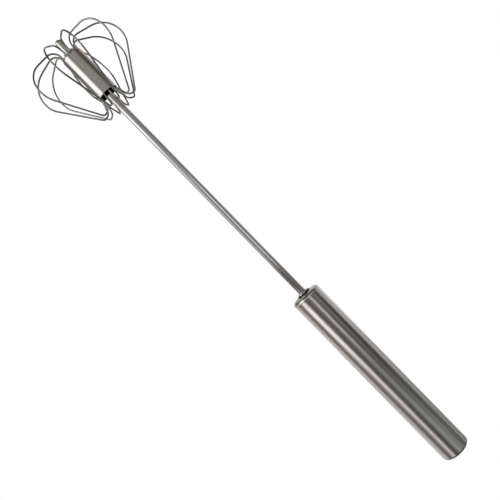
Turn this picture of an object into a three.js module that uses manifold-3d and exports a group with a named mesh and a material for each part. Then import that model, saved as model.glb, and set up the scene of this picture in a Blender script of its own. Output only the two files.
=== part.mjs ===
// Push-down rotary whisk. Pressing the handle down its shaft spins the wire head, and a spring lifts it again.
//
// Millimetres. +Z runs along the whisk's axis from the wire head, below, to the butt of the handle, above.
// The origin is on the axis, half way along the handle, where the hand holds it.
//
// The handle holds a plug at its top end, and a twisted strip hangs from the plug down the middle of the handle.
// The strip passes through a slotted nut on the top end of the hollow shaft. When the handle goes down over the
// shaft, the strip screws through the nut, and the shaft turns with everything that is fixed to it.

import * as THREE from "three";
import { mergeVertices } from "three/addons/utils/BufferGeometryUtils.js";
import Module from "manifold-3d";

// ---------------------------------------------------------------------------------------------------------
// Driving dimensions

const GAP = 0.3; // between faces that bear on each other

const HANDLE = {
  length: 135,
  radius: 9.85,
  wall: 0.8,
  noseFlat: 5.6, // radius of the flat round the shaft, where the dome of the nose begins
  noseSlope: 6, // degrees
  noseRound: 2.2, // outside radius of the corner between dome and side
  noseHole: 4.8, // radius of the hole that the bush comes out of
  rimRound: 1.8, // outside radius of the rolled rim at the butt
  rimHole: 7.9,
};
const BUTT_CAP = { radius: 7.6, flange: 8.5, flangeThickness: 1.2, recess: 1.4 };

const BUSH = { bore: 2.6, body: 8.6, length: 10, corner: 1, neck: 4.6, neckOut: 0.65 };
const NOSE_RING = { bore: 2.75, radius: 3.9, thickness: 0.7, chamfer: 0.5 };
const BUFFER = { bore: 3.1, radius: 7.6, thickness: 1.5 };

const STRIP = { width: 3, thickness: 0.9, lead: 32, stepDegrees: 10, overrun: 20 };
const PLUG = { radius: 8.65, length: 13, slotPlay: 0.25 };
const PIN = { radius: 0.6, length: 15.6, play: 0.2 };

const SPRING = { radius: 7, wire: 0.45, turns: 15, deadTurns: 1, stepsPerTurn: 10, sides: 6 };
const WASHER = { bore: 5.3, radius: 8.4, thickness: 1 };
const NUT = { flange: 8.5, flangeThickness: 3, body: 5, socket: 8, slotted: 8, slotPlay: 0.22 };

const SHAFT = { radius: 2.4, bore: 1.9, seat: 0.2 }; // seat is the gap round a piece fixed to the tube
const NOSE_TIP = { inHub: 3, noseRadius: 2.05, spigot: 6 };

const HUB = {
  bottom: -274, // lower end of the sleeve, where the loops leave it
  length: 32.6,
  radius: 7.1,
  wall: 0.4,
  rimHeight: 0.9, // the lower rim is worked inwards a little
  rimDepth: 0.25,
  coreRadius: 5.3,
  coreRecessTop: 6,
  coreRecessBottom: 1.5,
  shaftBelow: 13.2, // how far the shaft stands out below the sleeve
};

// One wire loop lies in a plane through the axis. Its centre line is a run of straight lines joined by round
// bends: r is the distance from the axis, z the height above the hub's lower end, and bend the corner's radius.
const WIRE = { radius: 0.58, sides: 8, steps: 54 };
const LOOP = [
  { r: 6, z: 12, bend: 0 }, // lower end, gripped between core and sleeve
  { r: 6, z: -9.2, bend: 5.3 }, // turns outwards below the hub
  { r: 43.3, z: 0, bend: 15.5 }, // the round shoulder of the loop
  { r: 13.2, z: 43, bend: 2 }, // hooks over above the hub
  { r: 8.8, z: 41.9, bend: 3.2 }, // and back down
  { r: 6, z: 32.7, bend: 5 }, // into the sleeve's upper end
  { r: 6, z: 20, bend: 0 }, // upper end, gripped between core and sleeve
];

// The loops stand evenly round the axis, but for how far each was set off by hand, in degrees.
const SET_OFF = [3, 2, 3, 2, 1, 0, 2, 3.5, 1.5, 5];

// Heights along the axis, worked out from the dimensions above.
const noseZ = -HANDLE.length / 2;
const noseSlope = THREE.MathUtils.degToRad(HANDLE.noseSlope);
const buttZ = HANDLE.length / 2;
const bushBottom = noseZ + HANDLE.wall + GAP;
const bushTop = bushBottom + BUSH.length;
const neckBottom = noseZ - BUSH.neckOut;
const ringTop = neckBottom - 0.1;
const bufferBottom = bushTop + GAP;
const nutBottom = bufferBottom + BUFFER.thickness + GAP;
const nutShoulder = nutBottom + NUT.flangeThickness;
const socketTop = nutBottom + NUT.socket;
const nutTop = socketTop + NUT.slotted;
const washerBottom = nutShoulder + GAP;
const springBottom = washerBottom + WASHER.thickness + GAP;
const capFlangeTop = buttZ - BUTT_CAP.recess;
const capBottom = capFlangeTop - BUTT_CAP.flangeThickness;
const plugTop = capBottom - GAP;
const plugBottom = plugTop - PLUG.length;
const springTop = plugBottom - GAP;
const pinHeight = plugTop - PLUG.length / 2;
const stripBottom = socketTop - STRIP.overrun;
const shaftTop = socketTop - GAP;
const shaftEnd = HUB.bottom - HUB.shaftBelow;
const tipTop = HUB.bottom + NOSE_TIP.inHub;

// ---------------------------------------------------------------------------------------------------------
// Materials

const steel = (color, roughness) => new THREE.MeshStandardMaterial({ color, roughness, metalness: 1 });
const plastic = (color, roughness) => new THREE.MeshStandardMaterial({ color, roughness, metalness: 0 });

const MATERIALS = {
  satinSteel: steel(0xb4b0ab, 0.34),
  polishedSteel: steel(0xc6c4c1, 0.2),
  wireSteel: steel(0xa5a39f, 0.26),
  springSteel: steel(0x8e8c88, 0.35),
  blackNylon: plastic(0x161616, 0.5),
  whiteNylon: plastic(0xe3e0d6, 0.5),
  blackSilicone: plastic(0x24262a, 0.7),
};

// ---------------------------------------------------------------------------------------------------------
// Shapes

const upright = (geometry) => geometry.rotateX(Math.PI / 2); // three.js turns and extrudes round Y

// A solid of revolution round Z. The path is in (radius, height), up the outside and down the inside.
function turned(path, segments, arcSteps = 2) {
  return upright(new THREE.LatheGeometry(path.getPoints(arcSteps), segments));
}

// A closed outline in (radius, height) from a list of corners.
function outline(...corners) {
  const path = new THREE.Path();
  path.moveTo(...corners[0]);
  corners.slice(1).forEach((corner) => path.lineTo(...corner));
  return path.lineTo(...corners[0]);
}

function sleeve(inner, outer, bottom, top, segments) {
  return turned(outline([inner, bottom], [outer, bottom], [outer, top], [inner, top]), segments);
}

function rod(radius, bottom, top, segments) {
  const path = new THREE.Path().moveTo(0, bottom).lineTo(radius, bottom).lineTo(radius, top).lineTo(0, top);
  return turned(path, segments);
}

// A flat bar twisted round Z by one turn for each lead. The angle depends on the height alone, so every piece
// made here lies on the same screw.
function twistedBar(width, thickness, bottom, top) {
  const steps = Math.ceil(((top - bottom) / STRIP.lead) * (360 / STRIP.stepDegrees));
  const bar = new THREE.BoxGeometry(width, top - bottom, thickness, 1, steps, 1);
  upright(bar).translate(0, 0, (top + bottom) / 2);
  const place = bar.attributes.position;
  const axis = new THREE.Vector3(0, 0, 1);
  for (let i = 0; i < place.count; i++) {
    const corner = new THREE.Vector3().fromBufferAttribute(place, i);
    corner.applyAxisAngle(axis, (2 * Math.PI * corner.z) / STRIP.lead);
    place.setXYZ(i, corner.x, corner.y, corner.z);
  }
  return bar;
}

function regularPolygon(radius, sides) {
  const corner = (i) => {
    const angle = (2 * Math.PI * i) / sides;
    return new THREE.Vector2(radius * Math.cos(angle), radius * Math.sin(angle));
  };
  return new THREE.Shape(Array.from({ length: sides }, (_, i) => corner(i)));
}

// Round wire along a curve.
function wireAlong(curve, radius, sides, steps) {
  const options = { steps, extrudePath: curve, bevelEnabled: false };
  return new THREE.ExtrudeGeometry(regularPolygon(radius, sides), options);
}

// ---------------------------------------------------------------------------------------------------------
// Joining and cutting

const wasm = await Module();
wasm.setup();

function toSolid(geometry) {
  const bare = new THREE.BufferGeometry();
  bare.setAttribute("position", geometry.attributes.position);
  bare.setIndex(geometry.index);
  const merged = mergeVertices(bare, 1e-4);
  const mesh = new wasm.Mesh({
    numProp: 3,
    vertProperties: new Float32Array(merged.attributes.position.array),
    triVerts: new Uint32Array(merged.index.array),
  });
  return new wasm.Manifold(mesh);
}

function toGeometry(solid) {
  const mesh = solid.getMesh();
  const geometry = new THREE.BufferGeometry();
  geometry.setAttribute("position", new THREE.BufferAttribute(mesh.vertProperties, 3));
  geometry.setIndex(new THREE.BufferAttribute(mesh.triVerts, 1));
  geometry.computeVertexNormals();
  return geometry;
}

function cut(geometry, ...tools) {
  const solid = tools.reduce((rest, tool) => rest.subtract(toSolid(tool)), toSolid(geometry));
  return toGeometry(solid);
}

// ---------------------------------------------------------------------------------------------------------
// Handle: everything that the hand holds and that doesn't turn

// How far a line parallel to the nose's outside, the given depth under it, moves the foot of its dome inwards.
const domeShift = (depth) => depth * Math.tan(noseSlope / 2);

// A tube whose lower end is spun in to a low dome and whose upper rim is rolled in round the cap.
function handleTube() {
  const { radius, wall, noseFlat, noseRound, noseHole, rimRound, rimHole } = HANDLE;
  const cornerRadius = radius - noseRound;
  const dome = cornerRadius + noseRound * Math.sin(noseSlope) - noseFlat; // the dome's width
  const cornerZ = noseZ + dome * Math.tan(noseSlope) + noseRound * Math.cos(noseSlope);
  const rimInner = rimRound - wall;
  const path = new THREE.Path();
  path.moveTo(noseHole, noseZ);
  path.lineTo(noseFlat, noseZ);
  path.absarc(cornerRadius, cornerZ, noseRound, noseSlope - Math.PI / 2, 0);
  path.absarc(radius - rimRound, buttZ - rimRound, rimRound, 0, Math.PI / 2);
  path.lineTo(rimHole, buttZ);
  path.lineTo(rimHole, buttZ - wall);
  path.absarc(radius - rimRound, buttZ - rimRound, rimInner, Math.PI / 2, 0, true);
  path.absarc(cornerRadius, cornerZ, noseRound - wall, 0, noseSlope - Math.PI / 2, true);
  path.lineTo(noseFlat - domeShift(wall), noseZ + wall);
  path.lineTo(noseHole, noseZ + wall);
  path.lineTo(noseHole, noseZ);
  return turned(path, 40, 3);
}

// A flat disc that fills the rolled rim, on a flange that stops it from inside.
function buttCap() {
  const path = new THREE.Path();
  path.moveTo(0, capBottom);
  path.lineTo(BUTT_CAP.flange, capBottom);
  path.lineTo(BUTT_CAP.flange, capFlangeTop);
  path.lineTo(BUTT_CAP.radius, capFlangeTop);
  path.lineTo(BUTT_CAP.radius, buttZ);
  path.lineTo(0, buttZ);
  return turned(path, 48);
}

// The bearing of the shaft. It fits into the dome of the handle's nose, and its neck comes out through the hole.
function noseBush() {
  const flat = HANDLE.noseFlat - domeShift(HANDLE.wall + GAP);
  const shoulder = BUSH.body - BUSH.corner;
  const shoulderZ = bushBottom + (shoulder - flat) * Math.tan(noseSlope);
  const corners = [
    [BUSH.bore, neckBottom],
    [BUSH.neck, neckBottom],
    [BUSH.neck, bushBottom],
    [flat, bushBottom],
    [shoulder, shoulderZ],
    [BUSH.body, shoulderZ + BUSH.corner],
    [BUSH.body, bushTop],
    [BUSH.bore, bushTop],
  ];
  return turned(outline(...corners), 32);
}

// A thin ring that closes the front of the bush's neck.
function noseRing() {
  const bottom = ringTop - NOSE_RING.thickness;
  const corners = [
    [NOSE_RING.bore, bottom],
    [NOSE_RING.radius - NOSE_RING.chamfer, bottom],
    [NOSE_RING.radius, bottom + NOSE_RING.chamfer],
    [NOSE_RING.radius, ringTop],
    [NOSE_RING.bore, ringTop],
  ];
  return turned(outline(...corners), 32);
}

function bufferWasher() {
  return sleeve(BUFFER.bore, BUFFER.radius, bufferBottom, bufferBottom + BUFFER.thickness, 32);
}

function driveStrip() {
  const strip = twistedBar(STRIP.width, STRIP.thickness, stripBottom, plugTop - GAP);
  return cut(strip, crossPin(PIN.radius + PIN.play, PIN.length));
}

// A pin through the plug and the strip, square to the strip's face at that height.
function crossPin(radius, length) {
  const twist = (2 * Math.PI * pinHeight) / STRIP.lead;
  return new THREE.CylinderGeometry(radius, radius, length, 12).rotateZ(twist).translate(0, 0, pinHeight);
}

// The plug that holds the top of the strip, and that the spring pushes against.
function anchorPlug() {
  const plug = rod(PLUG.radius, plugBottom, plugTop, 32);
  const width = STRIP.width + 2 * PLUG.slotPlay;
  const thickness = STRIP.thickness + 2 * PLUG.slotPlay;
  const slot = twistedBar(width, thickness, plugBottom - 1, plugTop + 1);
  return cut(plug, slot, crossPin(PIN.radius + PIN.play, 2 * PLUG.radius + 2));
}

// A compression spring, with its end turns closed.
class SpringLine extends THREE.Curve {
  getPoint(t, target = new THREE.Vector3()) {
    const { radius, wire, turns, deadTurns } = SPRING;
    const closed = deadTurns * (2 * wire + 0.1); // height of the closed turns at one end
    const open = springTop - springBottom - 2 * wire - 2 * closed;
    const turn = t * turns;
    const opened = THREE.MathUtils.clamp((turn - deadTurns) / (turns - 2 * deadTurns), 0, 1);
    const shut = Math.min(turn, deadTurns) + Math.max(turn - turns + deadTurns, 0);
    const height = springBottom + wire + opened * open + (shut / deadTurns) * closed;
    const angle = 2 * Math.PI * turn;
    return target.set(radius * Math.cos(angle), radius * Math.sin(angle), height);
  }
}

function returnSpring() {
  const steps = SPRING.turns * SPRING.stepsPerTurn;
  return wireAlong(new SpringLine(), SPRING.wire, SPRING.sides, steps);
}

// ---------------------------------------------------------------------------------------------------------
// Slider: goes up and down with the shaft, and doesn't turn

function thrustWasher() {
  return sleeve(WASHER.bore, WASHER.radius, washerBottom, washerBottom + WASHER.thickness, 32);
}

// ---------------------------------------------------------------------------------------------------------
// Spinner: the shaft and all that turns with it

// A socket for the shaft below and a slot for the strip above, on a flange that runs in the handle's tube.
function driveNut() {
  const corners = [
    [SHAFT.radius + SHAFT.seat, nutBottom],
    [NUT.flange, nutBottom],
    [NUT.flange, nutShoulder],
    [NUT.body, nutShoulder],
    [NUT.body, nutTop],
    [0, nutTop],
    [0, socketTop],
    [SHAFT.radius + SHAFT.seat, socketTop],
  ];
  const path = new THREE.Path().moveTo(...corners[6]);
  [corners[7], ...corners.slice(0, 6)].forEach((corner) => path.lineTo(...corner));
  const width = STRIP.width + 2 * NUT.slotPlay;
  const thickness = STRIP.thickness + 2 * NUT.slotPlay;
  return cut(turned(path, 32), twistedBar(width, thickness, socketTop - 1, nutTop + 1));
}

function shaftTube() {
  return sleeve(SHAFT.bore, SHAFT.radius, tipTop, shaftTop, 24);
}

// The round-ended stub that closes the lower end of the shaft. Its joint with the tube is inside the hub.
function shaftTip() {
  const spigotRadius = SHAFT.bore - SHAFT.seat;
  const under = tipTop - GAP;
  const flat = SHAFT.radius - NOSE_TIP.noseRadius;
  const path = new THREE.Path();
  path.moveTo(0, shaftEnd);
  path.lineTo(flat, shaftEnd);
  path.absarc(flat, shaftEnd + NOSE_TIP.noseRadius, NOSE_TIP.noseRadius, -Math.PI / 2, 0);
  path.lineTo(SHAFT.radius, under);
  path.lineTo(spigotRadius, under);
  path.lineTo(spigotRadius, under + NOSE_TIP.spigot);
  path.lineTo(0, under + NOSE_TIP.spigot);
  return turned(path, 24, 2);
}

function hubSleeve() {
  const inner = HUB.radius - HUB.wall;
  const top = HUB.bottom + HUB.length;
  const rim = [HUB.radius - HUB.rimDepth, HUB.bottom];
  const side = [HUB.radius, HUB.bottom + HUB.rimHeight];
  return turned(outline([inner, HUB.bottom], rim, side, [HUB.radius, top], [inner, top]), 40);
}

// The collar on the shaft that the wire ends are crimped against.
function hubCore() {
  const bottom = HUB.bottom + HUB.coreRecessBottom;
  const top = HUB.bottom + HUB.length - HUB.coreRecessTop;
  return sleeve(SHAFT.radius + SHAFT.seat, HUB.coreRadius, bottom, top, 32);
}

// A flat path through the corners, each rounded by an arc that is tangent to both of its sides.
function bentLine(corners) {
  const at = corners.map((corner) => new THREE.Vector2(corner.r, corner.z));
  const path = new THREE.Path();
  path.moveTo(at[0].x, at[0].y);
  corners.slice(1, -1).forEach(({ bend }, i) => {
    const corner = at[i + 1];
    const toLast = at[i].clone().sub(corner).normalize();
    const toNext = at[i + 2].clone().sub(corner).normalize();
    const half = Math.acos(toLast.dot(toNext)) / 2;
    const middle = toLast.clone().add(toNext).normalize();
    const centre = corner.clone().addScaledVector(middle, bend / Math.sin(half));
    const start = corner.clone().addScaledVector(toLast, bend / Math.tan(half)).sub(centre);
    const end = corner.clone().addScaledVector(toNext, bend / Math.tan(half)).sub(centre);
    path.lineTo(centre.x + start.x, centre.y + start.y);
    path.absarc(centre.x, centre.y, bend, start.angle(), end.angle(), start.cross(end) < 0);
  });
  return path.lineTo(at.at(-1).x, at.at(-1).y);
}

function wireLoop() {
  const flat = bentLine(LOOP).getSpacedPoints(4 * WIRE.steps);
  const inPlane = flat.map((point) => new THREE.Vector3(point.x, 0, HUB.bottom + point.y));
  return wireAlong(new THREE.CatmullRomCurve3(inPlane), WIRE.radius, WIRE.sides, WIRE.steps);
}

// ---------------------------------------------------------------------------------------------------------
// Assembly

function piece(name, geometry, material) {
  const mesh = new THREE.Mesh(geometry, material);
  mesh.name = name;
  return mesh;
}

function handle() {
  const { satinSteel, polishedSteel, springSteel, blackNylon, whiteNylon, blackSilicone } = MATERIALS;
  return new THREE.Group().add(
    piece("handle_tube", handleTube(), satinSteel),
    piece("butt_cap", buttCap(), satinSteel),
    piece("nose_bush", noseBush(), blackNylon),
    piece("nose_ring", noseRing(), polishedSteel),
    piece("buffer_washer", bufferWasher(), blackSilicone),
    piece("anchor_plug", anchorPlug(), whiteNylon),
    piece("anchor_pin", crossPin(PIN.radius, PIN.length), polishedSteel),
    piece("drive_strip", driveStrip(), springSteel),
    piece("return_spring", returnSpring(), springSteel),
  );
}

function slider() {
  return new THREE.Group().add(piece("thrust_washer", thrustWasher(), MATERIALS.polishedSteel));
}

function spinner() {
  const { satinSteel, polishedSteel, wireSteel, whiteNylon } = MATERIALS;
  const group = new THREE.Group().add(
    piece("drive_nut", driveNut(), whiteNylon),
    piece("shaft_tube", shaftTube(), polishedSteel),
    piece("shaft_tip", shaftTip(), polishedSteel),
    piece("hub_sleeve", hubSleeve(), satinSteel),
    piece("hub_core", hubCore(), wireSteel),
  );
  SET_OFF.forEach((setOff, i) => {
    const number = String(i + 1).padStart(2, "0");
    const wire = piece(`whisk_wire_${number}`, wireLoop(), wireSteel);
    wire.rotation.z = THREE.MathUtils.degToRad((360 * i) / SET_OFF.length + setOff);
    group.add(wire);
  });
  return group;
}

export default new THREE.Group().add(handle(), slider(), spinner());
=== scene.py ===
"""Looks of the push-down rotary whisk: fine meshes, steel and nylon materials, studio and camera.

Metres, in the row frame: +Z runs up the whisk's axis from the wire head to the butt of the handle.
"""

import math

import bmesh
import bpy
from mathutils import Matrix, Vector


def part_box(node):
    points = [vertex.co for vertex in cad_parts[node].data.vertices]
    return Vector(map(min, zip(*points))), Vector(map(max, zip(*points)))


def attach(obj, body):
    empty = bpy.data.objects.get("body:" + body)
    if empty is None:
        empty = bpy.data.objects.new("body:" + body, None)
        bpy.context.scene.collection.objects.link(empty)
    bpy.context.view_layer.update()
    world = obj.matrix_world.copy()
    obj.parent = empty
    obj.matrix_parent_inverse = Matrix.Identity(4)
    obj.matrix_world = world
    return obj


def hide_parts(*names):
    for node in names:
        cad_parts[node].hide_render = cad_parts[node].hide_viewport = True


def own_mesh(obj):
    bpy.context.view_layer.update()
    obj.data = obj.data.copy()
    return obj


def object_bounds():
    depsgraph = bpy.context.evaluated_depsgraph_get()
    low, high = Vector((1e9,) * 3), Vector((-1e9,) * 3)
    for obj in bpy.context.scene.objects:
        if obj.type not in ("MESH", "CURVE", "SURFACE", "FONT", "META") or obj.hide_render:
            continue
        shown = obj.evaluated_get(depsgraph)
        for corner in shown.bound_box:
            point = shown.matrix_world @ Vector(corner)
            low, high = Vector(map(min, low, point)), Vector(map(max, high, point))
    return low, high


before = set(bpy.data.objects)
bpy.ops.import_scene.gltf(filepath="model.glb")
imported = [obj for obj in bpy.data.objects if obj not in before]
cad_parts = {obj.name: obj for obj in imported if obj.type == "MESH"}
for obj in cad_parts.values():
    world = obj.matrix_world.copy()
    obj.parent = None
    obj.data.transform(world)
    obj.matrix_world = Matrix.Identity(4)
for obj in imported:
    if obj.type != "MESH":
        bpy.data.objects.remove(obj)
cad_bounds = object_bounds()

MM = 0.001


# ---------------------------------------------------------------------------------------------------------
# Camera: square to the axis, a little to the +X side of it, with the whisk lying slantwise across the frame

CAMERA_PLACE = Vector((0.0050, -0.376, -0.1104))
CAMERA_LENS = 43.56  # mm, on a sensor 36 mm wide
AXIS_SLANT = math.radians(45.65)  # how far the axis dips towards the butt in the picture


def make_camera():
    data = bpy.data.cameras.new("camera")
    data.lens = CAMERA_LENS
    data.sensor_width = 36
    camera = bpy.data.objects.new("camera", data)
    bpy.context.scene.collection.objects.link(camera)
    right = Vector((-math.sin(AXIS_SLANT), 0, math.cos(AXIS_SLANT)))
    up = Vector((-math.cos(AXIS_SLANT), 0, -math.sin(AXIS_SLANT)))
    turn = Matrix((right, up, right.cross(up))).transposed()
    camera.matrix_world = Matrix.Translation(CAMERA_PLACE) @ turn.to_4x4()
    bpy.context.scene.camera = camera


make_camera()


# ---------------------------------------------------------------------------------------------------------
# Mesh building

def finish_mesh(name, bm, sharp=30):
    """An object from a bmesh, smooth except along edges sharper than the given angle."""
    bmesh.ops.recalc_face_normals(bm, faces=bm.faces)
    mesh = bpy.data.meshes.new(name)
    bm.to_mesh(mesh)
    bm.free()
    mesh.shade_smooth()
    mesh.set_sharp_from_angle(angle=math.radians(sharp))
    piece = bpy.data.objects.new(name, mesh)
    bpy.context.scene.collection.objects.link(piece)
    return piece


def ring_between(bm, lower, upper):
    """Faces between two rings of vertices, either of which may be a single vertex on the axis."""
    sides = max(len(lower), len(upper))
    for i in range(sides):
        j = (i + 1) % sides
        below = (lower[i % len(lower)], lower[j % len(lower)])
        above = (upper[j % len(upper)], upper[i % len(upper)])
        bm.faces.new(tuple(dict.fromkeys(below + above)))


def arc(radius, height, bend, start, end, steps=8):
    """Points (radius, height) of an arc about a centre, from one angle to another, in degrees."""
    angles = (math.radians(start + (end - start) * i / steps) for i in range(steps + 1))
    return [(radius + bend * math.cos(a), height + bend * math.sin(a)) for a in angles]


def supported(outline, reach=0.15 * MM):
    """The outline with a point close to both ends of each long line, so that its faces shade true."""
    points = []
    for start, end in zip(outline, outline[1:] + outline[:1]):
        points.append(start)
        length = math.dist(start, end)
        if length > 4 * reach and max(start[0], end[0]) > 0:
            for share in (reach / length, 1 - reach / length):
                points.append(tuple(a + (b - a) * share for a, b in zip(start, end)))
    return points


def turned(name, outline, sides=128):
    """A solid of revolution round Z. Its (radius, height) outline closes on itself or on the axis."""
    bm = bmesh.new()
    rings = []
    for radius, height in supported(outline):
        count = sides if radius > 1e-7 else 1
        angles = (2 * math.pi * i / sides for i in range(count))
        rings.append([bm.verts.new((radius * math.cos(a), radius * math.sin(a), height)) for a in angles])
    for lower, upper in zip(rings, rings[1:] + rings[:1]):
        if len(lower) + len(upper) > 2:
            ring_between(bm, lower, upper)
    return finish_mesh(name, bm)


def soft_sleeve(name, inner, outer, bottom, top, edge, sides=128):
    """A round sleeve with rounded edges."""
    outline = arc(inner + edge, bottom + edge, edge, 180, 270, 4)
    outline += arc(outer - edge, bottom + edge, edge, 270, 360, 4)
    outline += arc(outer - edge, top - edge, edge, 0, 90, 4)
    outline += arc(inner + edge, top - edge, edge, 90, 180, 4)
    return turned(name, outline, sides)


def swept(name, path, radius, sides=20):
    """Round wire along a list of points, with rounded ends."""
    tangents = [(after - before).normalized() for before, after in zip(path, path[1:])]
    between = [(a + b).normalized() for a, b in zip(tangents, tangents[1:])]
    tangents = [tangents[0]] + between + [tangents[-1]]
    side = tangents[0].orthogonal().normalized()
    bm = bmesh.new()
    rings = []

    def add_ring(centre, across, along, size):
        other = along.cross(across)
        turns = (2 * math.pi * i / sides for i in range(sides))
        points = [centre + size * (math.cos(a) * across + math.sin(a) * other) for a in turns]
        rings.append([bm.verts.new(point) for point in points])

    def add_end(centre, across, along, angles):
        for angle in angles:
            out = radius * math.sin(math.radians(angle))
            add_ring(centre + along * out, across, along, radius * math.cos(math.radians(angle)))

    add_end(path[0], side, tangents[0], (-75, -50, -25))
    for point, tangent in zip(path, tangents):
        side = (side - tangent * side.dot(tangent)).normalized()
        add_ring(point, side, tangent, radius)
    add_end(path[-1], side, tangents[-1], (25, 50, 75))
    rings.insert(0, [bm.verts.new(path[0] - tangents[0] * radius)])
    rings.append([bm.verts.new(path[-1] + tangents[-1] * radius)])
    for lower, upper in zip(rings, rings[1:]):
        ring_between(bm, lower, upper)
    return finish_mesh(name, bm, 60)


def bent_line(corners, arc_step=5, straight_step=1.5 * MM):
    """Points (radius, height) along lines joined by bends. A corner is (radius, height, bend)."""
    places = [Vector(corner[:2]) for corner in corners]
    points = [places[0]]
    for last, corner, following, (_, _, bend) in zip(places, places[1:], places[2:], corners[1:]):
        to_last = (last - corner).normalized()
        to_next = (following - corner).normalized()
        half = to_last.angle(to_next) / 2
        centre = corner + (to_last + to_next).normalized() * (bend / math.sin(half))
        start = corner + to_last * (bend / math.tan(half)) - centre
        end = corner + to_next * (bend / math.tan(half)) - centre
        turn = -start.angle_signed(end)
        steps = max(2, math.ceil(abs(math.degrees(turn)) / arc_step))
        straight(points, centre + start, straight_step)
        for i in range(1, steps + 1):
            points.append(centre + Matrix.Rotation(turn * i / steps, 2) @ start)
    straight(points, places[-1], straight_step)
    return points


def straight(points, end, step):
    """Adds points along a straight line from the last point to the end."""
    start = points[-1]
    steps = max(1, math.ceil((end - start).length / step))
    points.extend(start.lerp(end, i / steps) for i in range(1, steps + 1))


def place(piece, body, material, slot, *replaced):
    """Puts a finished piece on its body, in its finish, in place of its CAD nodes."""
    piece.data.materials.clear()
    piece.data.materials.append(material)
    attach(piece, body)
    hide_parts(*replaced)
    return piece


# ---------------------------------------------------------------------------------------------------------
# Materials

class Finish:
    """A procedural material, built node by node round one Principled shader."""

    def __init__(self, name, **sockets):
        self.material = bpy.data.materials.new(name)
        self.material.use_nodes = True
        self.tree = self.material.node_tree
        self.shader = self.tree.nodes["Principled BSDF"]
        self.where = self.node("ShaderNodeTexCoord").outputs["Object"]
        self.set(self.shader, {key.replace("_", " "): value for key, value in sockets.items()})

    def set(self, node, values):
        for key, value in values.items():
            if isinstance(value, bpy.types.NodeSocket):
                self.tree.links.new(value, node.inputs[key])
            else:
                node.inputs[key].default_value = value

    def node(self, kind, values=None, **settings):
        made = self.tree.nodes.new(kind)
        for key, value in settings.items():
            setattr(made, key, value)
        self.set(made, values or {})
        return made

    def noise(self, scale, detail=3.0, roughness=0.55, seed=0.0):
        """Noise from 0 to 1, with its own scale along each axis, in cells per metre."""
        values = {"Vector": self.where, "Scale": scale, "Location": (seed,) * 3}
        moved = self.node("ShaderNodeMapping", values)
        values = {"Vector": moved.outputs[0], "Scale": 1.0, "Detail": detail, "Roughness": roughness}
        return self.node("ShaderNodeTexNoise", values).outputs["Fac"]

    def spread(self, value, low, high, from_low=0.3, from_high=0.7):
        """A noise value stretched to run from low to high."""
        values = {"Value": value, "From Min": from_low, "From Max": from_high}
        values.update({"To Min": low, "To Max": high})
        return self.node("ShaderNodeMapRange", values).outputs[0]

    def sum(self, *values):
        total = values[0]
        for value in values[1:]:
            total = self.node("ShaderNodeMath", {0: total, 1: value}, operation="ADD").outputs[0]
        return total

    def blend(self, share, first, second):
        values = {"Factor": share, 6: (*first, 1), 7: (*second, 1)}
        return self.node("ShaderNodeMix", values, data_type="RGBA").outputs[2]

    def bump(self, height, depth):
        made = self.node("ShaderNodeBump", {"Height": height, "Distance": depth, "Strength": 1.0})
        self.set(self.shader, {"Normal": made.outputs[0]})


# Cells per metre of the fine and the coarse brushed lines.
ROUND = ((90, 90, 9000), (30, 30, 2600))  # rings round the axis
LENGTHWISE = ((7000, 7000, 90), (2400, 2400, 30))  # lines along the axis
DRAWN = ((2500, 2500, 2500), (500, 500, 500))  # an even grain, for wire


def steel(name, light, dark, roughness, lines, depth, anisotropy=0.0):
    """Stainless steel with brushed lines, faint smudges and a little wear in its shine."""
    finish = Finish(name, Metallic=1.0)
    fine_lines = finish.noise(lines[0], detail=3)
    coarse_lines = finish.noise(lines[1], detail=2, seed=3.1)
    smudges = finish.noise((55, 55, 38), detail=5, roughness=0.6, seed=7.7)
    specks = finish.noise((2600, 2600, 2600), detail=1, seed=1.3)
    tone = finish.sum(
        finish.spread(fine_lines, 0, 0.3),
        finish.spread(coarse_lines, 0, 0.3),
        finish.spread(smudges, 0, 0.4),
    )
    finish.set(finish.shader, {
        "Base Color": finish.blend(tone, dark, light),
        "Roughness": finish.sum(
            finish.spread(fine_lines, roughness - 0.02, roughness + 0.02),
            finish.spread(smudges, -0.02, 0.03),
            finish.spread(specks, 0, 0.015),
        ),
    })
    if anisotropy:
        tangent = finish.node("ShaderNodeTangent", direction_type="RADIAL", axis="Z")
        finish.set(finish.shader, {"Anisotropic": anisotropy, "Tangent": tangent.outputs[0]})
    finish.bump(fine_lines, depth)
    return finish.material


def moulded(name, light, dark, roughness, grain=900, depth=0.02 * MM):
    """Moulded plastic or rubber, with a fine grain and a slightly uneven tone."""
    finish = Finish(name)
    fine = finish.noise((grain,) * 3, detail=4)
    cloud = finish.noise((90, 90, 90), detail=3, seed=5.2)
    finish.set(finish.shader, {
        "Base Color": finish.blend(finish.spread(cloud, 0, 1), dark, light),
        "Roughness": finish.sum(
            finish.spread(fine, roughness - 0.06, roughness + 0.06),
            finish.spread(cloud, 0, 0.05),
        ),
    })
    finish.bump(fine, depth)
    return finish.material


HAIRLINE = 0.0003 * MM  # depth of the brushed lines


SATIN_LIGHT = (0.65, 0.63, 0.60)
SATIN_DARK = (0.58, 0.56, 0.53)
POLISHED_LIGHT = (0.64, 0.625, 0.615)
POLISHED_DARK = (0.58, 0.565, 0.555)
WIRE_LIGHT = (0.43, 0.43, 0.42)
WIRE_DARK = (0.35, 0.35, 0.34)
SPRING_LIGHT = (0.50, 0.49, 0.47)
SPRING_DARK = (0.40, 0.39, 0.38)


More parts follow.
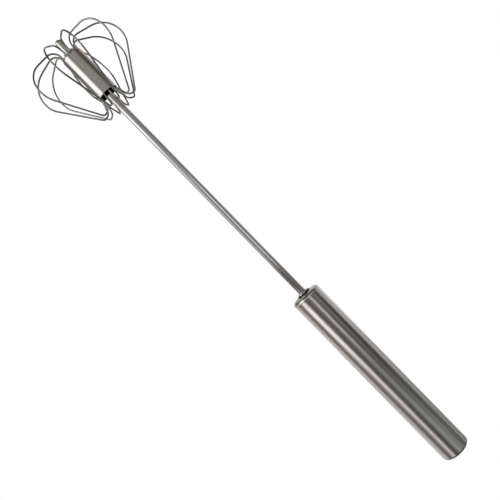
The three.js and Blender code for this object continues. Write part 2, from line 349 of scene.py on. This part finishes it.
def make_materials():
    return {
        "brushed_handle": steel("brushed_handle", SATIN_LIGHT, SATIN_DARK, 0.17, ROUND, HAIRLINE, 0.3),
        "satin_steel": steel("satin_steel", SATIN_LIGHT, SATIN_DARK, 0.15, LENGTHWISE, HAIRLINE),
        "polished_steel": steel("polished_steel", POLISHED_LIGHT, POLISHED_DARK, 0.07, ROUND, HAIRLINE / 2),
        "wire_steel": steel("wire_steel", WIRE_LIGHT, WIRE_DARK, 0.13, DRAWN, HAIRLINE / 2),
        "spring_steel": steel("spring_steel", SPRING_LIGHT, SPRING_DARK, 0.3, DRAWN, HAIRLINE),
        "black_nylon": moulded("black_nylon", (0.02, 0.02, 0.021), (0.012, 0.012, 0.012), 0.42),
        "white_nylon": moulded("white_nylon", (0.86, 0.84, 0.79), (0.8, 0.78, 0.72), 0.45),
        "black_silicone": moulded("black_silicone", (0.03, 0.03, 0.033), (0.02, 0.02, 0.022), 0.65),
    }


materials = make_materials()


# ---------------------------------------------------------------------------------------------------------
# Handle

def size_of(node):
    """A round node's radius, bottom and top."""
    low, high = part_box(node)
    return high.x, low.z, high.z


NOSE_SLOPE = 6  # of the low dome round the shaft, in degrees
NOSE_FLAT = 5.6 * MM  # radius of the flat in the middle of the dome
NOSE_BLEND = 2.0 * MM  # radius of the blend from flat to dome
TUBE_WALL = 0.8 * MM


def handle_tube():
    radius, bottom, top = size_of("handle_tube")
    corner, rim = 2.2 * MM, 1.8 * MM
    nose_hole, rim_hole = 4.8 * MM, 7.9 * MM
    lip = 0.12 * MM
    slope = math.radians(NOSE_SLOPE)
    dome = radius - corner + corner * math.sin(slope) - NOSE_FLAT
    corner_height = bottom + dome * math.tan(slope) + corner * math.cos(slope)
    outline = arc(nose_hole + lip, bottom + lip, lip, 180, 270, 3)
    blend_start = NOSE_FLAT - NOSE_BLEND * math.tan(slope / 2)
    outline += arc(blend_start, bottom + NOSE_BLEND, NOSE_BLEND, 270, 270 + NOSE_SLOPE, 4)
    outline += arc(radius - corner, corner_height, corner, 270 + NOSE_SLOPE, 360, 14)
    outline += [(radius, bottom + (top - bottom) * i / 24) for i in range(1, 24)]
    outline += arc(radius - rim, top - rim, rim, 0, 90, 14)
    outline += arc(rim_hole + lip, top - lip, lip, 90, 180, 3)
    outline += [(rim_hole, top - TUBE_WALL)]
    outline += arc(radius - rim, top - rim, rim - TUBE_WALL, 90, 0)
    outline += arc(radius - corner, corner_height, corner - TUBE_WALL, 0, NOSE_SLOPE - 90)
    inner_flat = NOSE_FLAT - TUBE_WALL * math.tan(slope / 2)
    outline += [(inner_flat, bottom + TUBE_WALL), (nose_hole, bottom + TUBE_WALL)]
    piece = turned("handle_tube_fine", outline, 160)
    return place(piece, "handle", materials["brushed_handle"], "brushed_handle", "handle_tube")


def butt_cap():
    flange, bottom, top = size_of("butt_cap")
    radius, recess, edge = 7.75 * MM, 1.4 * MM, 0.2 * MM
    outline = [(0, bottom), (flange, bottom), (flange, top - recess), (radius, top - recess)]
    outline += arc(radius - edge, top - edge, edge, 0, 90, 4)
    outline += [(radius * share, top) for share in (0.75, 0.5, 0.25, 0)]
    piece = turned("butt_cap_fine", outline, 160)
    return place(piece, "handle", materials["brushed_handle"], "brushed_handle", "butt_cap")


def nose_bush():
    body, bottom, top = size_of("nose_bush")
    neck, bore, corner, edge = 4.6 * MM, 2.6 * MM, 1.0 * MM, 0.15 * MM
    slope = math.radians(NOSE_SLOPE)
    under = TUBE_WALL + 0.3 * MM  # depth of the bush under the outside of the nose
    shoulder = size_of("handle_tube")[1] + under
    flat = NOSE_FLAT - under * math.tan(slope / 2)
    corner_height = shoulder + (body - corner - flat) * math.tan(slope)
    outline = arc(bore + edge, bottom + edge, edge, 180, 270, 3)
    outline += arc(neck - edge, bottom + edge, edge, 270, 360, 4)
    outline += [(neck, shoulder), (flat, shoulder)]
    outline += [(body - corner, corner_height), (body, corner_height + corner)]
    outline += arc(body - edge, top - edge, edge, 0, 90, 4)
    outline += [(bore, top)]
    piece = turned("nose_bush_fine", outline)
    return place(piece, "handle", materials["black_nylon"], "black_nylon", "nose_bush")


def nose_ring():
    radius, bottom, top = size_of("nose_ring")
    bore, chamfer, edge = 2.75 * MM, 0.5 * MM, 0.08 * MM
    outline = arc(bore + edge, bottom + edge, edge, 180, 270, 3)
    outline += arc(radius - chamfer, bottom + chamfer, chamfer, 270, 360, 10)
    outline += arc(radius - edge, top - edge, edge, 0, 90, 3)
    outline += [(bore, top)]
    piece = turned("nose_ring_fine", outline)
    return place(piece, "handle", materials["polished_steel"], "polished_steel", "nose_ring")


def buffer_washer():
    radius, bottom, top = size_of("buffer_washer")
    piece = soft_sleeve("buffer_washer_fine", 3.1 * MM, radius, bottom, top, 0.3 * MM, 96)
    return place(piece, "handle", materials["black_silicone"], "black_silicone", "buffer_washer")


def return_spring():
    """Closed end turns and an open run between them, built at rest; the real spring squashes as the handle
    goes down.
    """
    low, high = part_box("return_spring")
    wire, turns, closed_turns = 0.45 * MM, 15, 1
    radius = high.x - wire
    closed = closed_turns * (2 * wire + 0.1 * MM)
    opened = high.z - low.z - 2 * wire - 2 * closed
    path = []
    steps = turns * 32
    for i in range(steps + 1):
        turn = turns * i / steps
        share = min(max((turn - closed_turns) / (turns - 2 * closed_turns), 0), 1)
        shut = min(turn, closed_turns) + max(turn - turns + closed_turns, 0)
        height = low.z + wire + share * opened + shut / closed_turns * closed
        angle = 2 * math.pi * turn
        path.append(Vector((radius * math.cos(angle), radius * math.sin(angle), height)))
    piece = swept("return_spring_fine", path, wire, 14)
    place(piece, "handle", materials["spring_steel"], "spring_steel", "return_spring")
    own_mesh(piece)
    return piece


# ---------------------------------------------------------------------------------------------------------
# Slider and spinner

def thrust_washer():
    radius, bottom, top = size_of("thrust_washer")
    piece = soft_sleeve("thrust_washer_fine", 5.3 * MM, radius, bottom, top, 0.2 * MM, 96)
    return place(piece, "slider", materials["polished_steel"], "polished_steel", "thrust_washer")


def shaft_tube():
    radius, bottom, top = size_of("shaft_tube")
    bore, edge = 1.9 * MM, 0.1 * MM
    outline = arc(bore + edge, bottom + edge, edge, 180, 270, 3)
    outline += arc(radius - edge, bottom + edge, edge, 270, 360, 3)
    outline += [(radius, bottom + (top - bottom) * i / 60) for i in range(1, 60)]
    outline += arc(radius - edge, top - edge, edge, 0, 90, 3)
    outline += arc(bore + edge, top - edge, edge, 90, 180, 3)
    piece = turned("shaft_tube_fine", outline, 96)
    return place(piece, "spinner", materials["polished_steel"], "polished_steel", "shaft_tube")


def shaft_tip():
    radius, bottom, top = size_of("shaft_tip")
    nose, spigot, spigot_length = 2.05 * MM, 1.7 * MM, 6.0 * MM
    shoulder = top - spigot_length
    edge = 0.1 * MM
    outline = [(0, bottom), ((radius - nose) / 2, bottom)]
    outline += arc(radius - nose, bottom + nose, nose, 270, 360, 12)
    outline += arc(radius - edge, shoulder - edge, edge, 0, 90, 3)
    outline += [(spigot, shoulder), (spigot, top), (0, top)]
    piece = turned("shaft_tip_fine", outline, 96)
    return place(piece, "spinner", materials["polished_steel"], "polished_steel", "shaft_tip")


def hub_sleeve():
    radius, bottom, top = size_of("hub_sleeve")
    rim_height, rim_depth, edge = 0.9 * MM, 0.25 * MM, 0.1 * MM
    inner = radius - 0.4 * MM
    outline = [(inner, bottom), (radius - rim_depth, bottom), (radius, bottom + rim_height)]
    outline += [(radius, bottom + rim_height + (top - bottom) * i / 20) for i in range(1, 19)]
    outline += arc(radius - edge, top - edge, edge, 0, 90, 4)
    outline += arc(inner + edge, top - edge, edge, 90, 180, 4)
    piece = turned("hub_sleeve_fine", outline, 144)
    return place(piece, "spinner", materials["satin_steel"], "satin_steel", "hub_sleeve")


def hub_core():
    radius, bottom, top = size_of("hub_core")
    piece = soft_sleeve("hub_core_fine", 2.6 * MM, radius, bottom, top, 0.2 * MM, 96)
    return place(piece, "spinner", materials["wire_steel"], "wire_steel", "hub_core")


# The centre line of one wire loop, in mm: (distance from the axis, height above the hub's lower end, bend).
WIRE_LOOP = [
    (6, 12, 0),
    (6, -9.2, 5.3),
    (43.3, 0, 15.5),
    (13.2, 43, 2),
    (8.8, 41.9, 3.2),
    (6, 32.7, 5),
    (6, 20, 0),
]
WIRE_RADIUS = 0.58 * MM
SET_OFF = [3, 2, 3, 2, 1, 0, 2, 3.5, 1.5, 5]  # how far each loop is off even spacing, in degrees


def whisk_wires():
    hub_bottom = size_of("hub_sleeve")[1]
    flat = bent_line([tuple(MM * number for number in corner) for corner in WIRE_LOOP])
    path = [Vector((point.x, 0, hub_bottom + point.y)) for point in flat]
    for i, set_off in enumerate(SET_OFF):
        node = f"whisk_wire_{i + 1:02}"
        turn = Matrix.Rotation(math.radians(360 * i / len(SET_OFF) + set_off), 3, "Z")
        piece = swept(node + "_fine", [turn @ point for point in path], WIRE_RADIUS)
        place(piece, "spinner", materials["wire_steel"], "wire_steel", node)


handle_tube()
butt_cap()
nose_bush()
nose_ring()
buffer_washer()
return_spring()
thrust_washer()
shaft_tube()
shaft_tip()
hub_sleeve()
hub_core()
whisk_wires()

# The CAD's own pieces that stay, hidden inside the handle, each in its finish.
KEPT = {
    "anchor_plug": "white_nylon",
    "anchor_pin": "polished_steel",
    "drive_strip": "spring_steel",
    "drive_nut": "white_nylon",
}
for node, finish in KEPT.items():
    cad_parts[node].data.materials.clear()
    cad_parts[node].data.materials.append(materials[finish])


# ---------------------------------------------------------------------------------------------------------
# Studio

WHITE = (1.0, 1.0, 1.0)
BLUSH = (1.0, 0.955, 0.97)
OLIVE = (0.99, 1.0, 0.88)
GREEN = (0.95, 1.01, 0.94)
BROWN = (1.0, 0.78, 0.68)
UMBER = (1.0, 0.80, 0.79)
ROSE = (1.0, 0.92, 0.90)
GREY = (1.0, 0.98, 0.97)

# What the steel mirrors: soft boxes and dark flags that stand upright round the whisk. Each set of cards is
# a list of (bearing, brightness, tint), where bearing 0 is the camera and 90 is the -X side.
DIM = [
    (-180, 0.3, WHITE), (-130, 0.3, WHITE), (-90, 0.2, GREY), (-45, 0.1, GREY), (0, 0.07, GREY),
    (95, 0.08, GREY), (140, 0.25, WHITE), (180, 0.3, WHITE)]
HEAD = [
    (-180, 0.5, ROSE), (-150, 0.3, ROSE), (-114, 0.16, ROSE), (-100, 0.18, ROSE), (-89, 0.8, WHITE),
    (-76, 1.9, WHITE), (-54, 2.0, WHITE), (-42, 1.3, WHITE), (-28, 0.42, OLIVE), (-18, 0.33, OLIVE),
    (10, 0.42, OLIVE), (40, 0.35, OLIVE), (54, 0.33, OLIVE), (64, 0.2, BROWN), (76, 0.12, BROWN),
    (92, 0.11, BROWN), (104, 0.2, ROSE), (122, 0.5, ROSE), (150, 0.75, ROSE), (180, 0.6, ROSE)]
SHAFT_LOW = [
    (-180, 0.45, GREY), (-125, 0.45, WHITE), (-100, 0.8, WHITE), (-80, 1.3, WHITE),
    (-62, 2.1, WHITE), (-46, 1.5, WHITE), (-28, 0.7, WHITE), (-14, 0.38, GREY), (20, 0.34, GREY),
    (48, 0.32, GREY), (68, 0.25, GREY), (88, 0.22, GREY), (112, 0.55, GREY), (180, 0.6, GREY)]
SHAFT_MIDDLE = [
    (-180, 0.45, WHITE), (-125, 0.5, WHITE), (-100, 0.75, WHITE), (-82, 0.85, WHITE),
    (-62, 1.1, WHITE), (-44, 0.8, WHITE), (-28, 0.36, GREY), (-8, 0.38, GREY), (12, 0.45, GREY),
    (24, 0.4, GREY), (48, 0.33, GREY), (62, 0.22, GREY), (84, 0.2, GREY), (112, 0.6, GREY),
    (180, 0.8, WHITE)]
SHAFT_LINES = [
    (-180, 0.45, WHITE), (-125, 0.5, WHITE), (-100, 0.75, WHITE), (-84, 0.8, WHITE),
    (-62, 0.75, WHITE), (-40, 0.34, GREY), (-28, 0.3, GREY), (-8, 0.45, GREY), (8, 1.05, WHITE),
    (20, 0.95, WHITE), (46, 0.36, GREY), (62, 0.24, GREY), (84, 0.24, GREY), (112, 0.6, GREY),
    (180, 0.9, WHITE)]
SHAFT_HIGH = [
    (-180, 0.45, WHITE), (-125, 0.45, WHITE), (-92, 0.66, WHITE), (-76, 0.7, WHITE),
    (-54, 0.36, GREY), (-28, 0.24, GREY), (-8, 0.5, GREY), (4, 1.05, WHITE), (18, 0.95, WHITE),
    (42, 0.3, GREY), (62, 0.22, GREY), (84, 0.26, GREY), (112, 0.7, GREY), (180, 0.9, WHITE)]
COLLAR = [
    (-180, 0.3, WHITE), (-125, 0.35, GREY), (-95, 0.3, ROSE), (-66, 0.14, ROSE), (-20, 0.12, ROSE),
    (12, 0.14, ROSE), (50, 0.17, ROSE), (90, 0.26, ROSE), (130, 0.6, ROSE), (180, 0.8, WHITE)]
NOSE = [
    (-180, 0.9, WHITE), (-120, 0.75, WHITE), (-94, 0.2, ROSE), (-80, 0.18, ROSE), (-70, 1.3, BLUSH),
    (-61, 2.1, BLUSH), (-50, 2.1, BLUSH), (-44, 1.3, BLUSH), (-33, 0.13, ROSE), (1, 0.15, ROSE),
    (10, 1.0, WHITE), (14, 1.3, WHITE), (18, 0.9, WHITE), (25, 0.1, ROSE), (37, 0.1, ROSE),
    (46, 0.34, ROSE), (52, 0.3, ROSE), (65, 0.04, UMBER), (76, 0.04, UMBER), (94, 0.6, WHITE),
    (122, 0.66, WHITE), (145, 1.0, WHITE), (180, 0.9, WHITE)]
GRIP = [
    (-180, 1.0, WHITE), (-145, 0.65, WHITE), (-112, 0.72, WHITE), (-93, 0.21, ROSE),
    (-79, 0.18, ROSE), (-66, 0.42, BLUSH), (-54, 1.0, BLUSH), (-44, 1.05, BLUSH), (-31, 0.13, ROSE),
    (-14, 0.11, ROSE), (4, 0.28, WHITE), (16, 0.28, GREEN), (28, 0.12, GREEN), (45, 0.11, GREEN),
    (54, 0.14, ROSE), (68, 0.07, UMBER), (78, 0.07, UMBER), (99, 0.5, WHITE), (111, 0.58, WHITE),
    (125, 0.34, WHITE), (145, 0.5, WHITE), (180, 1.0, WHITE)]
BUTT = [
    (-180, 1.0, WHITE), (-145, 0.9, WHITE), (-122, 0.67, WHITE), (-100, 0.6, WHITE),
    (-83, 0.15, ROSE), (-70, 0.17, ROSE), (-58, 0.38, BLUSH), (-47, 0.95, BLUSH), (-42, 0.9, BLUSH),
    (-29, 0.15, ROSE), (-14, 0.09, ROSE), (10, 0.4, GREEN), (19, 0.42, GREEN), (33, 0.3, GREEN),
    (46, 0.31, GREEN), (63, 0.19, GREEN), (88, 0.15, GREEN), (104, 0.39, WHITE), (123, 0.24, WHITE),
    (145, 0.4, WHITE), (180, 0.8, WHITE)]

# The height of each set of cards above the horizon, in degrees. Each fades into the next.
STUDIO = [
    (-50, DIM), (-45, HEAD), (-18.9, HEAD), (-18, SHAFT_LOW), (-14, SHAFT_LOW),
    (-11.5, SHAFT_MIDDLE), (-9.5, SHAFT_MIDDLE), (-7.5, SHAFT_LINES), (-2, SHAFT_HIGH),
    (2, SHAFT_HIGH), (3.6, COLLAR), (6.2, COLLAR), (6.7, NOSE), (7.2, NOSE), (16, GRIP), (25, BUTT),
    (30, BUTT), (40, DIM)]
BACKGROUND = 1.0  # brightness of the plain backdrop that the camera sees


def make_world():
    world = bpy.data.worlds.new("studio")
    bpy.context.scene.world = world
    world.use_nodes = True
    tree = world.node_tree
    tree.nodes.clear()

    def node(kind, values=None, **settings):
        made = tree.nodes.new(kind)
        for key, value in settings.items():
            setattr(made, key, value)
        for key, value in (values or {}).items():
            if isinstance(value, bpy.types.NodeSocket):
                tree.links.new(value, made.inputs[key])
            else:
                made.inputs[key].default_value = value
        return made

    def maths(operation, first, second=0.0):
        return node("ShaderNodeMath", {0: first, 1: second}, operation=operation).outputs[0]

    direction = node("ShaderNodeTexCoord").outputs["Generated"]
    parts = node("ShaderNodeSeparateXYZ", {0: direction}).outputs
    bearing = maths("ARCTAN2", maths("MULTIPLY", parts["X"], -1), maths("MULTIPLY", parts["Y"], -1))
    round_share = maths("ADD", maths("DIVIDE", bearing, 2 * math.pi), 0.5)
    height = maths("MULTIPLY", maths("ARCSINE", parts["Z"]), 180 / math.pi)

    def ramp(cards):
        made = node("ShaderNodeValToRGB", {"Fac": round_share})
        fill_ramp(made.color_ramp, cards)
        return made.outputs[0]

    colour = ramp(STUDIO[0][1])
    for (low, lower), (high, upper) in zip(STUDIO, STUDIO[1:]):
        if upper is not lower:
            values = {"Value": height, "From Min": low, "From Max": high}
            share = node("ShaderNodeMapRange", values, interpolation_type="SMOOTHSTEP").outputs[0]
            values = {"Factor": share, 6: colour, 7: ramp(upper)}
            colour = node("ShaderNodeMix", values, data_type="RGBA").outputs[2]

    mirrored = node("ShaderNodeBackground", {"Color": colour})
    backdrop = node("ShaderNodeBackground", {"Color": (*WHITE, 1), "Strength": BACKGROUND})
    seen = node("ShaderNodeLightPath").outputs["Is Camera Ray"]
    mix = node("ShaderNodeMixShader", {0: seen, 1: mirrored.outputs[0], 2: backdrop.outputs[0]})
    node("ShaderNodeOutputWorld", {"Surface": mix.outputs[0]})


def fill_ramp(ramp, stops):
    """Sets a colour ramp from (bearing, brightness, tint) stops. The bearing runs from -180 to 180."""
    ramp.interpolation = "EASE"
    while len(ramp.elements) < len(stops):
        ramp.elements.new(0.5)
    for element, (bearing, brightness, tint) in zip(ramp.elements, stops):
        element.position = (bearing + 180) / 360
        element.color = (*(brightness * part for part in tint), 1)


def make_floor():
    """A plain pale table top below the head, with a glow of its own that keeps it nearly white."""
    finish = Finish("floor_white", Roughness=0.8)
    cloud = finish.noise((3, 3, 3))
    finish.set(finish.shader, {
        "Base Color": finish.blend(cloud, (0.88, 0.88, 0.88), (0.9, 0.9, 0.9)),
        "Emission Color": (1, 1, 1, 1),
        "Emission Strength": 0.78,
    })
    below = 0.12
    reach = 0.8
    bm = bmesh.new()
    level = cad_bounds[0].z - below
    centre = bm.verts.new((0, 0, level))
    sides = 96
    turns = (2 * math.pi * i / sides for i in range(sides))
    edge = [bm.verts.new((reach * math.cos(a), reach * math.sin(a), level)) for a in turns]
    ring_between(bm, [centre], edge)
    floor = finish_mesh("floor", bm)
    floor.data.materials.append(finish.material)
    floor.visible_glossy = False  # the studio's cards, not the table, are what the steel mirrors


LIT_POINT = Vector((0, 0, -0.12))  # near the middle of the whisk


def make_light(name, position, size, power):
    data = bpy.data.lights.new(name, "AREA")
    data.shape = "RECTANGLE"
    data.size, data.size_y = size
    data.energy = power
    light = bpy.data.objects.new(name, data)
    bpy.context.scene.collection.objects.link(light)
    light.location = position
    light.visible_camera = False
    light.visible_glossy = False
    aim = LIT_POINT - Vector(position)
    light.rotation_euler = aim.to_track_quat("-Z", "Y").to_euler()


make_world()
make_floor()
make_light("key_light", (0.9, -0.7, 0.5), (0.5, 0.7), 2.0)
make_light("fill_light", (-1.0, -0.4, 0.3), (0.6, 0.8), 1.0)
bpy.context.scene.view_settings.view_transform = "Standard"
